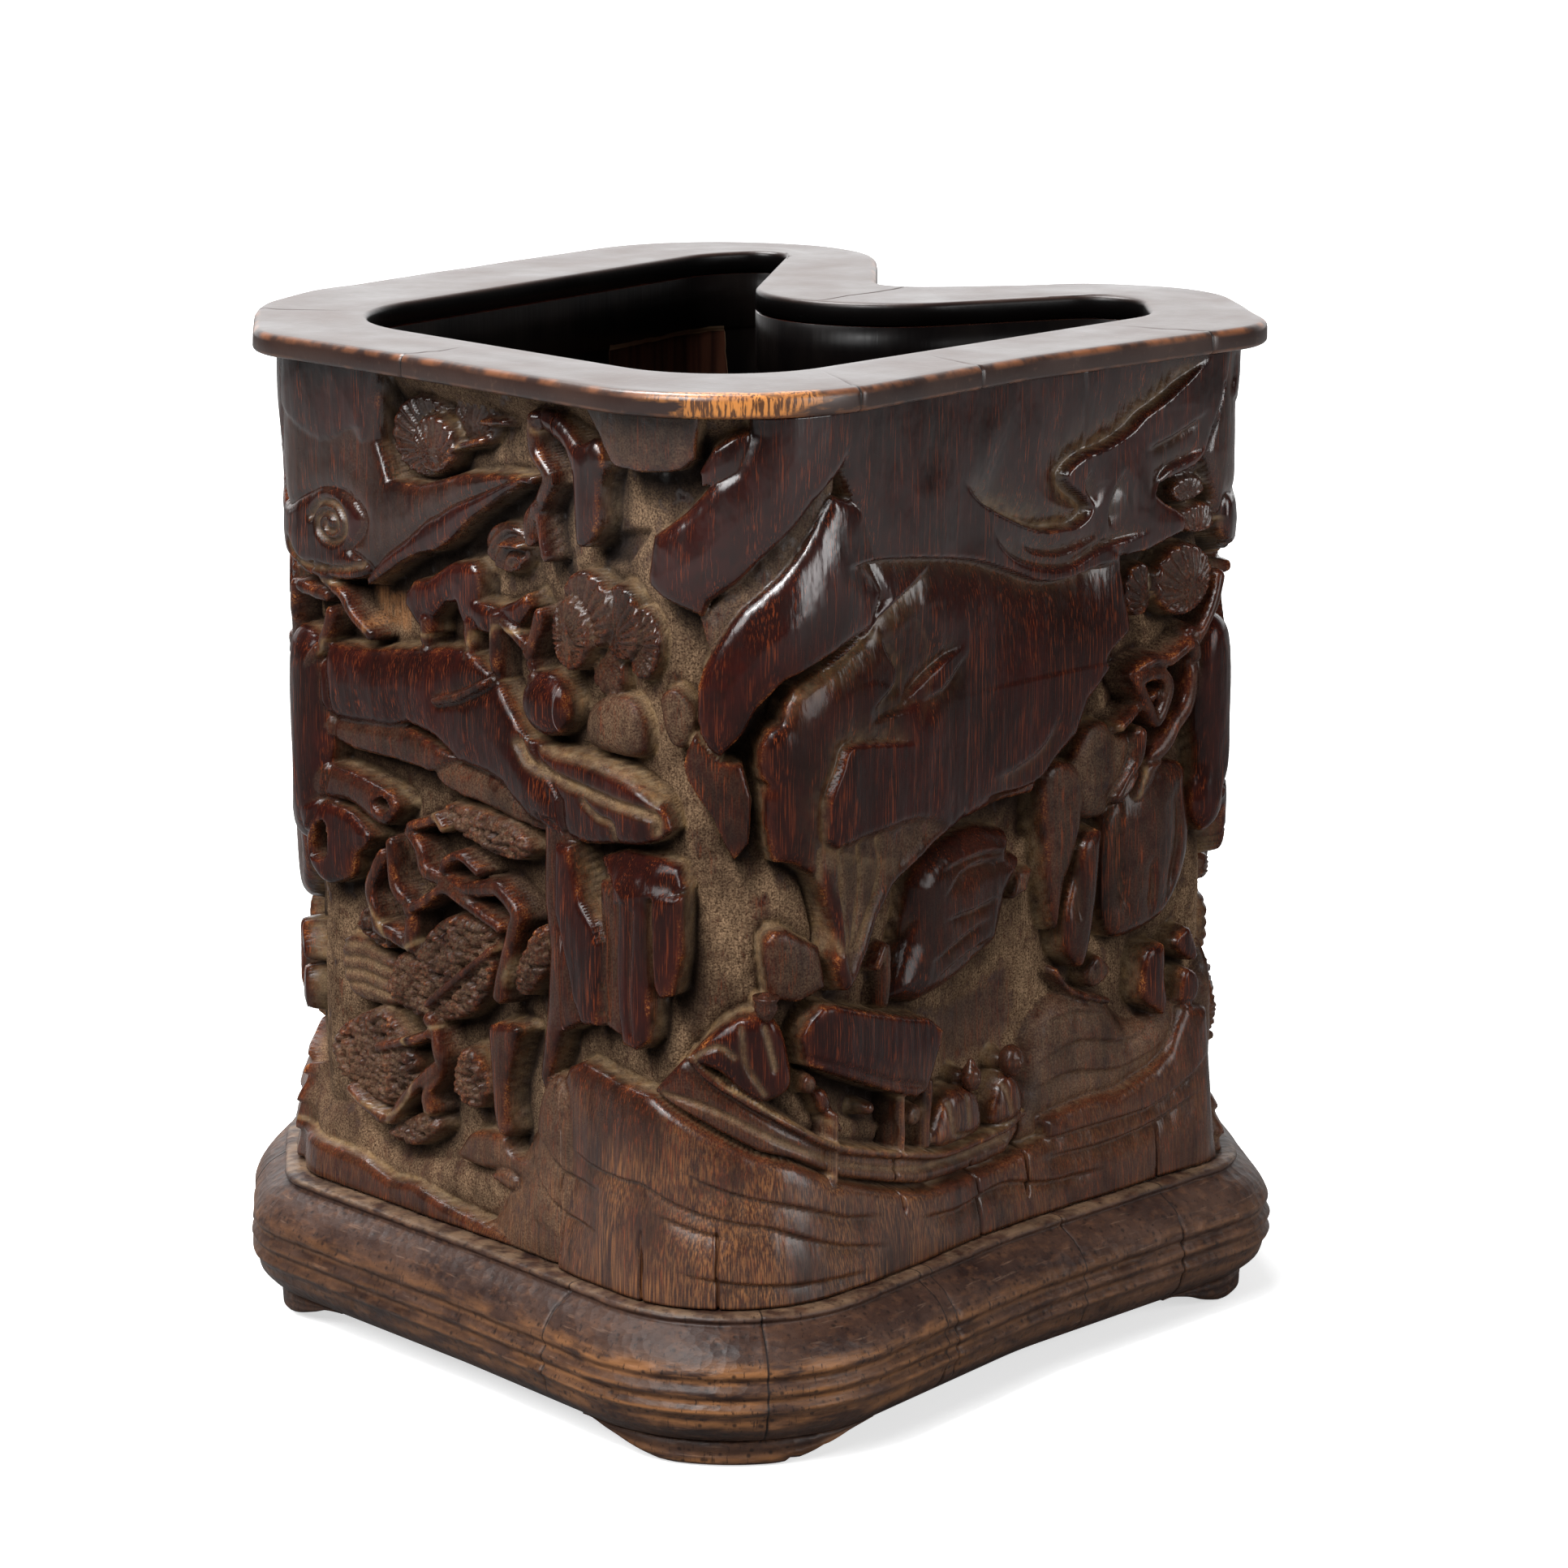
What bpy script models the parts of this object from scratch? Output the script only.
"""Brush holder pot of carved bamboo: a four-lobed wall with one deep inward bend,
a flat overhanging rim, a moulded plinth on four low feet, and a floor let into the plinth.

The frame has its origin at the middle of the footprint on the resting plane, +Z up,
the front lobe towards -Y and the bend in the +X +Y quarter. Everything is in metres.
"""

import math

import bmesh
import bpy
import numpy as np

MM = 0.001

# Driving heights, from the table up.
POT_HEIGHT = 150.0 * MM
FOOT_HEIGHT = 4.0 * MM
PLINTH_TOP = 21.6 * MM
RIM_THICKNESS = 3.4 * MM
GAP = 0.3 * MM

# Driving distances, measured outwards from the uncarved face of the wall.
RIM_OVERHANG = 3.3 * MM
FOOT_REACH = 2.4 * MM
FOOT_DEPTH = 9.0 * MM
FLOOR_SEAT = -7.0 * MM
LEDGE_REACH = -9.4 * MM
FLOOR_THICKNESS = 5.0 * MM

# Corners of the wall's plan, counter-clockwise from the front lobe: x, y, radius in mm.
# A corner that turns clockwise (the two hollow sides and the bend) is rounded inwards.
WALL_CORNERS = (
    (-2.5, -99.8, 22.0),  # front lobe
    (36.0, -52.0, 74.0),  # hollow of the front right side
    (73.0, -16.0, 13.0),  # right lobe, front
    (67.0, 31.0, 18.0),  # right lobe, back
    (15.3, 22.7, 9.5),  # inward bend
    (16.3, 86.8, 23.0),  # back lobe, right
    (-18.5, 88.3, 22.0),  # back lobe, left
    (-73.5, 12.0, 45.0),  # left lobe, back
    (-70.0, -25.3, 13.0),  # left lobe, front
    (-40.0, -57.2, 85.0),  # hollow of the front left side
)
CAVITY_CORNERS = (
    (-4.4, -78.4, 17.0),
    (58.9, -6.3, 12.5),
    (58.6, 20.1, 8.0),
    (-4.3, -6.4, 21.0),
    (5.2, 78.9, 5.0),
    (-9.3, 73.0, 16.0),
    (-65.1, -8.3, 27.0),
)
ARC_STEP = math.radians(7.0)

# Half section of the plinth's moulding, top to bottom: outward distance, height, in mm.
MOULDING = (
    (0.6, 21.6),
    (1.5, 21.4),
    (1.8, 20.9),
    (1.6, 20.2),
    (2.5, 19.7),
    (4.4, 18.3),
    (5.7, 16.3),
    (5.8, 15.2),
    (6.5, 14.4),
    (6.7, 13.2),
    (6.2, 11.9),
    (6.8, 10.8),
    (6.8, 9.4),
    (6.0, 7.2),
    (4.5, 5.3),
    (2.9, 4.0),
)

# Feet: name, and where along the wall's outline the foot is centred, as a plan direction.
FEET = (
    ("foot_front", (-0.03, -1.0)),
    ("foot_right", (0.995, -0.13)),
    ("foot_back", (-0.02, 1.0)),
    ("foot_left", (-0.985, -0.2)),
)
FOOT_HALF_LENGTH = 22.0 * MM
FOOT_HALF_FLAT = 6.0 * MM
FOOT_TOE = 0.7 * MM

# Relief: how deep the ground between the carved masses lies, and the masses themselves.
GROUND_DEPTH = 4.5 * MM
PLAIN_BELOW_RIM = 3.0 * MM
RELIEF_COLUMNS = 118
RELIEF_ROWS = 27
MASS_SOFTNESS = 0.30
# Each mass: distance along the wall from the front lobe (+ to the right), height of its
# centre, half length, half height, lean in degrees, and how far short of the face it stops.
MASSES_MM = (
    (14.0, 112.0, 15.0, 34.0, -28.0, 0.0),  # leaning cliff
    (45.0, 96.0, 30.0, 26.0, 35.0, 0.0),  # great slab
    (78.0, 128.0, 30.0, 9.0, 12.0, 0.8),  # cloud on the right
    (88.0, 78.0, 14.0, 30.0, -20.0, 1.0),  # draped rocks
    (28.0, 48.0, 26.0, 7.0, 0.0, 2.0),  # boat
    (-20.0, 66.0, 10.0, 20.0, 5.0, 1.0),  # pillar rock
    (-42.0, 90.0, 26.0, 12.0, -25.0, 0.3),  # flat-topped shelf
    (-70.0, 122.0, 24.0, 12.0, 15.0, 0.8),  # cloud on the left
    (-52.0, 54.0, 17.0, 16.0, 0.0, 1.5),  # leaf masses
    (-84.0, 72.0, 9.0, 22.0, 0.0, 0.8),  # lump at the left lobe
    (-130.0, 105.0, 30.0, 22.0, 25.0, 0.3),  # cliff on the back left side
    (-158.0, 62.0, 24.0, 16.0, -15.0, 1.0),
    (-205.0, 92.0, 26.0, 30.0, 10.0, 0.5),
    (130.0, 96.0, 26.0, 26.0, -20.0, 0.5),
    (205.0, 80.0, 22.0, 34.0, 12.0, 0.6),
)
WATER_LEVEL = 36.0 * MM
WATER_SWELL = 6.0 * MM
WATER_EDGE = 5.0 * MM
WATER_WAVES = 6


def outline(corners, outwards=0.0):
    """Points of a plan whose corners are rounded, moved outwards by a distance."""
    points = []
    places = [np.array(corner[:2]) * MM for corner in corners]
    for index, (x, y, radius) in enumerate(corners):
        here = places[index]
        before = here - places[index - 1]
        after = places[(index + 1) % len(corners)] - here
        before /= np.linalg.norm(before)
        after /= np.linalg.norm(after)
        turn = math.atan2(before[0] * after[1] - before[1] * after[0], before @ after)
        side = math.copysign(1.0, turn)
        radius *= MM
        to_centre = side * np.array((-before[1], before[0]))
        centre = here - before * radius * math.tan(abs(turn) / 2) + to_centre * radius
        first = math.atan2(-to_centre[1], -to_centre[0])
        steps = max(2, math.ceil(abs(turn) / ARC_STEP))
        for step in range(steps + 1):
            angle = first + turn * step / steps
            arm = np.array((math.cos(angle), math.sin(angle)))
            points.append(centre + (radius + side * outwards) * arm)
    return np.array(points)


def evenly_spaced(points, count):
    """The closed outline again, as count points a constant distance apart."""
    closed = np.vstack([points, points[:1]])
    lengths = np.linalg.norm(np.diff(closed, axis=0), axis=1)
    along = np.concatenate([[0.0], np.cumsum(lengths)])
    wanted = np.linspace(0.0, along[-1], count, endpoint=False)
    return np.column_stack([np.interp(wanted, along, closed[:, axis]) for axis in (0, 1)]), along[-1]


def outward_normals(points):
    tangents = np.roll(points, -1, axis=0) - np.roll(points, 1, axis=0)
    tangents /= np.linalg.norm(tangents, axis=1)[:, None]
    return np.column_stack([tangents[:, 1], -tangents[:, 0]])


def start_scene():
    for thing in list(bpy.data.objects):
        bpy.data.objects.remove(thing)
    parts = bpy.data.collections.new("brush_pot")
    cutters = bpy.data.collections.new("cutters")
    bpy.context.scene.collection.children.link(parts)
    bpy.context.scene.collection.children.link(cutters)
    return parts, cutters


def make_material(name, colour, roughness):
    material = bpy.data.materials.new(name)
    material.use_nodes = True
    shader = material.node_tree.nodes["Principled BSDF"]
    shader.inputs["Base Color"].default_value = (*colour, 1.0)
    shader.inputs["Roughness"].default_value = roughness
    shader.inputs["Metallic"].default_value = 0.0
    return material


def add_mesh_object(name, mesh, collection, material=None, sharp_degrees=35.0):
    mesh.shade_smooth()
    mesh.set_sharp_from_angle(angle=math.radians(sharp_degrees))
    thing = bpy.data.objects.new(name, mesh)
    collection.objects.link(thing)
    if material:
        mesh.materials.append(material)
    return thing


def add_spline(curve, points):
    """Adds a closed straight-sided spline through plan points."""
    spline = curve.splines.new("POLY")
    spline.points.add(len(points) - 1)
    for place, point in zip(spline.points, points):
        place.co = (*point, 0.0, 1.0) if len(point) == 2 else (*point, 1.0)
    spline.use_cyclic_u = True


def curve_to_mesh(name, curve, z=0.0):
    """The mesh of a curve, with its loose caps and seams welded, raised to z."""
    maker = bpy.data.objects.new(f"{name}_curve", curve)
    bpy.context.scene.collection.objects.link(maker)
    bpy.context.view_layer.update()
    evaluated = maker.evaluated_get(bpy.context.evaluated_depsgraph_get())
    mesh = bpy.data.meshes.new_from_object(evaluated)
    bpy.data.objects.remove(maker)
    work = bmesh.new()
    work.from_mesh(mesh)
    bmesh.ops.remove_doubles(work, verts=work.verts, dist=0.01 * MM)
    bmesh.ops.translate(work, verts=work.verts, vec=(0.0, 0.0, z))
    bmesh.ops.recalc_face_normals(work, faces=work.faces)
    work.to_mesh(mesh)
    work.free()
    mesh.name = name
    return mesh


def slab(name, outlines, bottom, top):
    """A flat slab between two heights, from an outer outline and any openings in it."""
    curve = bpy.data.curves.new(name, "CURVE")
    curve.dimensions = "2D"
    curve.fill_mode = "BOTH"
    curve.extrude = (top - bottom) / 2
    for points in outlines:
        add_spline(curve, points)
    return curve_to_mesh(name, curve, z=(top + bottom) / 2)


def relief_depth(along, height):
    """How far behind the uncarved face the wall lies, at a distance along it and a height."""
    ground = GROUND_DEPTH
    rim_foot = POT_HEIGHT - RIM_THICKNESS - PLAIN_BELOW_RIM
    ground *= min(1.0, max(0.0, (rim_foot - height) / (2 * PLAIN_BELOW_RIM)))
    waterline = WATER_LEVEL + WATER_SWELL * math.sin(WATER_WAVES * math.tau * along / PERIMETER)
    ground *= min(1.0, max(0.0, (height - waterline) / WATER_EDGE))
    depth = ground
    for centre, centre_height, half_length, half_height, lean, short in MASSES_MM:
        across = (along - centre * MM + PERIMETER / 2) % PERIMETER - PERIMETER / 2
        up = height - centre_height * MM
        cosine, sine = math.cos(math.radians(lean)), math.sin(math.radians(lean))
        u = (across * cosine + up * sine) / (half_length * MM)
        v = (up * cosine - across * sine) / (half_height * MM)
        inside = (1.0 - math.hypot(u, v)) / MASS_SOFTNESS
        share = min(1.0, max(0.0, inside))
        depth = min(depth, ground + share * (short * MM - ground))
    return max(depth, 0.0)


def make_carved_wall(parts, cutters, material):
    """The bamboo wall: a solid prism with the relief on its face, bored by the cavity."""
    bottom = PLINTH_TOP + GAP
    top = POT_HEIGHT - RIM_THICKNESS - GAP
    normals = outward_normals(WALL_PLAN)
    work = bmesh.new()
    rings = []
    for height in np.linspace(bottom, top, RELIEF_ROWS):
        ring = []
        for column, (point, normal) in enumerate(zip(WALL_PLAN, normals)):
            along = column * PERIMETER / RELIEF_COLUMNS - FRONT_OFFSET
            x, y = point - normal * relief_depth(along, height)
            ring.append(work.verts.new((x, y, height)))
        rings.append(ring)
    for lower, upper in zip(rings, rings[1:]):
        for column in range(RELIEF_COLUMNS):
            after = (column + 1) % RELIEF_COLUMNS
            work.faces.new((lower[column], lower[after], upper[after], upper[column]))
    work.faces.new(reversed(rings[0]))
    work.faces.new(rings[-1])
    mesh = bpy.data.meshes.new("carved_wall")
    work.to_mesh(mesh)
    work.free()
    wall = add_mesh_object("carved_wall", mesh, parts, material)
    bore = slab("cavity_cutter", [outline(CAVITY_CORNERS)], bottom - 10 * MM, top + 10 * MM)
    cutter = add_mesh_object("cavity_cutter", bore, cutters)
    cutter.hide_render = True
    cutter.display_type = "WIRE"
    cut = wall.modifiers.new("cavity", "BOOLEAN")
    cut.operation = "DIFFERENCE"
    cut.object = cutter


def make_rim(parts, material):
    """The flat ring that covers the wall's end grain and stands out over the carving."""
    outlines = [outline(WALL_CORNERS, RIM_OVERHANG), outline(CAVITY_CORNERS)]
    mesh = slab("rim_band", outlines, POT_HEIGHT - RIM_THICKNESS, POT_HEIGHT)
    rim = add_mesh_object("rim_band", mesh, parts, material)
    edge = rim.modifiers.new("worn_edges", "BEVEL")
    edge.width = 0.9 * MM
    edge.segments = 2
    edge.limit_method = "ANGLE"
    edge.angle_limit = math.radians(60.0)


def make_plinth(parts, material):
    """The moulding swept round the foot of the wall, with a ledge inside for the floor."""
    floor_bottom = PLINTH_TOP - FLOOR_THICKNESS
    inside = (
        (LEDGE_REACH, FOOT_HEIGHT),
        (LEDGE_REACH, floor_bottom - GAP),
        (FLOOR_SEAT + GAP, floor_bottom - GAP),
        (FLOOR_SEAT + GAP, PLINTH_TOP),
    )
    section = [(out * MM, height * MM) for out, height in MOULDING] + list(inside)
    work = bmesh.new()
    rings = []
    for out, height in section:
        rings.append([work.verts.new((x, y, height)) for x, y in outline(WALL_CORNERS, out)])
    for upper, lower in zip(rings, rings[1:] + rings[:1]):
        for column in range(len(upper)):
            after = (column + 1) % len(upper)
            work.faces.new((lower[column], lower[after], upper[after], upper[column]))
    mesh = bpy.data.meshes.new("plinth_moulding")
    bmesh.ops.recalc_face_normals(work, faces=work.faces)
    work.to_mesh(mesh)
    work.free()
    add_mesh_object("plinth_moulding", mesh, parts, material)


def make_floor(parts, material):
    """The board the brushes stand on, dropped onto the plinth's ledge under the wall."""
    mesh = slab(
        "floor_plate",
        [outline(WALL_CORNERS, FLOOR_SEAT)],
        PLINTH_TOP - FLOOR_THICKNESS,
        PLINTH_TOP,
    )
    add_mesh_object("floor_plate", mesh, parts, material)


def foot_drop(distance):
    """The share of a foot's height that is left at a distance from its middle."""
    run = (abs(distance) - FOOT_HALF_FLAT) / (FOOT_HALF_LENGTH - FOOT_HALF_FLAT)
    run = min(1.0, max(0.0, run))
    return 0.5 + 0.5 * math.cos(math.pi * run)


def make_foot(name, direction, parts, material):
    """A bracket foot that follows the lobe: flat underneath, running out at both ends."""
    top = FOOT_HEIGHT - GAP
    stations = 29
    face = outline(WALL_CORNERS)
    face, length = evenly_spaced(face, 1200)
    normals = outward_normals(face)
    middle = int(np.argmax(face @ np.array(direction)))
    work = bmesh.new()
    sections = []
    for station in range(stations):
        distance = FOOT_HALF_LENGTH * (2 * station / (stations - 1) - 1)
        index = (middle + round(distance / length * len(face))) % len(face)
        bottom = (top - FOOT_TOE) * (1 - foot_drop(distance))
        outer = face[index] + normals[index] * FOOT_REACH
        inner = outer - normals[index] * FOOT_DEPTH
        corners = ((*outer, top), (*outer, bottom), (*inner, bottom), (*inner, top))
        sections.append([work.verts.new(corner) for corner in corners])
    for here, there in zip(sections, sections[1:]):
        for corner in range(4):
            after = (corner + 1) % 4
            work.faces.new((here[corner], here[after], there[after], there[corner]))
    work.faces.new(reversed(sections[0]))
    work.faces.new(sections[-1])
    bmesh.ops.recalc_face_normals(work, faces=work.faces)
    mesh = bpy.data.meshes.new(name)
    work.to_mesh(mesh)
    work.free()
    add_mesh_object(name, mesh, parts, material)


WALL_PLAN, PERIMETER = evenly_spaced(outline(WALL_CORNERS), RELIEF_COLUMNS)
FRONT_OFFSET = PERIMETER / RELIEF_COLUMNS * int(np.argmin(WALL_PLAN[:, 1]))


def main():
    parts, cutters = start_scene()
    carved = make_material("carved_bamboo", (0.055, 0.016, 0.010), 0.38)
    lacquered = make_material("rim_bamboo", (0.060, 0.022, 0.012), 0.30)
    moulded = make_material("plinth_bamboo", (0.105, 0.040, 0.018), 0.45)
    inside = make_material("floor_wood", (0.030, 0.016, 0.010), 0.55)
    make_carved_wall(parts, cutters, carved)
    make_rim(parts, lacquered)
    make_plinth(parts, moulded)
    make_floor(parts, inside)
    for name, direction in FEET:
        make_foot(name, direction, parts, moulded)


main()
